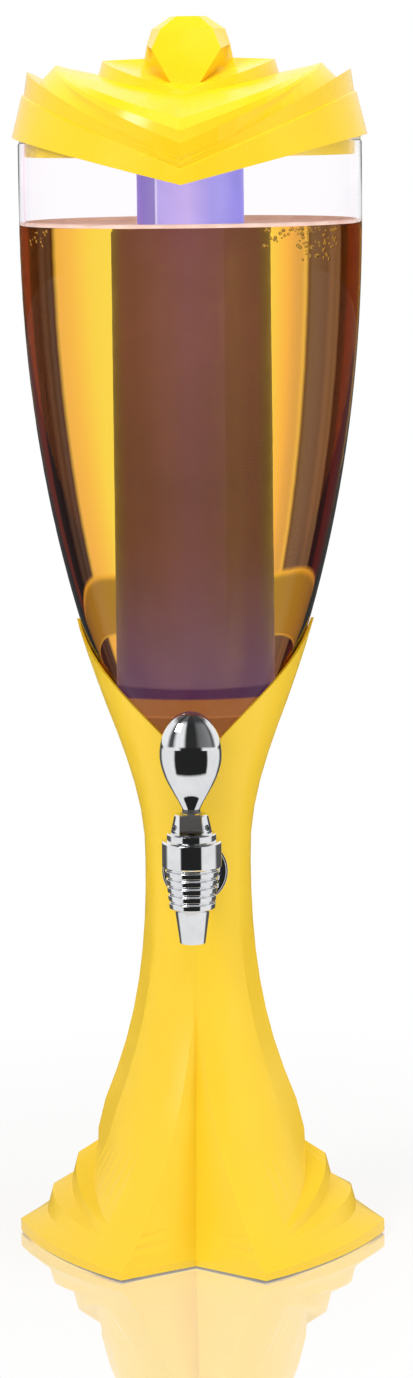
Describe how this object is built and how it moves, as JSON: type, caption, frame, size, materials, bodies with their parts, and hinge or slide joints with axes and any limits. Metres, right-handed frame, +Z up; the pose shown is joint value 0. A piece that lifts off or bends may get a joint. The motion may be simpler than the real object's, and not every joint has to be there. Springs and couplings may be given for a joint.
{
  "type": "beer tower dispenser",
  "caption": "Table-top drink tower: pleated yellow stand and crown lid, clear tapered tank with an ice tube, and a chromed lever tap.",
  "frame": {"origin": "on the table, under the centre of the foot and of the tank", "axes": "+Z up along the tower; the tap points along -Y; +X to the right as seen from the tap"},
  "size_m": [0.182, 0.1724, 0.6],
  "materials": {
    "yellow_shell": "glossy moulded plastic",
    "base_black": "fine texture",
    "screw_steel": "zinc plated",
    "pad_rubber": "matt",
    "cell_jacket": "printed jacket without print",
    "spring_steel": "bright",
    "lamp_white": "satin",
    "board_green": "solder mask",
    "led_clear": "clear lens",
    "window_clear": "clear",
    "wire_red": "smooth sleeve",
    "button_red": "smooth",
    "switch_black": "moulded",
    "tank_clear": "clear moulded plastic",
    "silicone": "translucent white",
    "ice_tube_frosted": "satin",
    "seal_grey": "matt",
    "liner_yellow": "satin",
    "tap_chrome": "mirror plated plastic",
    "lever_black": "polished",
    "stem_white": "smooth"
  },
  "bodies": {
    "stand": {"stand_shell": "yellow_shell", "base_plate": "base_black", "plate_screws": "screw_steel", "foot_pads": "pad_rubber", "battery_door": "base_black", "battery_door_screw": "screw_steel", "battery_cells": "cell_jacket", "battery_contacts": "spring_steel", "lamp_post": "lamp_white", "lamp_housing": "lamp_white", "lamp_board": "board_green", "lamp_leds": "led_clear", "lamp_window": "window_clear", "lamp_wires": "wire_red", "button_switch": "switch_black", "button_spring": "spring_steel", "tank": "tank_clear", "tank_cushion": "silicone", "port_gasket": "silicone", "tap_body": "tap_chrome", "tap_bonnet": "tap_chrome", "bonnet_seal": "seal_grey", "lever_pin": "spring_steel", "tap_spring": "spring_steel"},
    "lid": {"lid_crown": "yellow_shell", "lid_liner": "liner_yellow", "liner_screws": "screw_steel", "lid_seal": "silicone", "tube_seal": "seal_grey"},
    "cooler": {"ice_tube": "ice_tube_frosted"},
    "lever": {"lever_knob": "tap_chrome", "lever_foot": "lever_black"},
    "stem": {"tap_stem": "stem_white", "seat_cup": "silicone"},
    "button": {"power_button": "button_red"}
  },
  "joints": [
    {"name": "lid_lift", "type": "slide", "parent": "stand", "child": "lid", "axis": [0, 0, 1], "range_m": [0, 0.3]},
    {"name": "cooler_pull", "type": "slide", "parent": "lid", "child": "cooler", "axis": [0, 0, -1], "range_m": [0, 0.02]},
    {"name": "lever_tilt", "type": "hinge", "parent": "stand", "child": "lever", "pos_m": [0, -0.062, 0.2169], "axis": [1, 0, 0], "range_deg": [0, 45], "stiffness_Nm_per_rad": 0.03, "springref_deg": -20.05},
    {"name": "stem_lift", "type": "slide", "parent": "stand", "child": "stem", "axis": [0, 0, 1], "range_m": [0, 0.0039], "deforming": ["tap_spring"]},
    {"name": "button_press", "type": "slide", "parent": "stand", "child": "button", "axis": [0, 0, 1], "range_m": [0, 0.0015], "stiffness_N_per_m": 800, "springref_m": -0.0008, "deforming": ["button_spring"]}
  ],
  "couplings": [
    {"joint": "stem_lift", "follows": "lever_tilt", "m_per_rad": 0.00484}
  ]
}
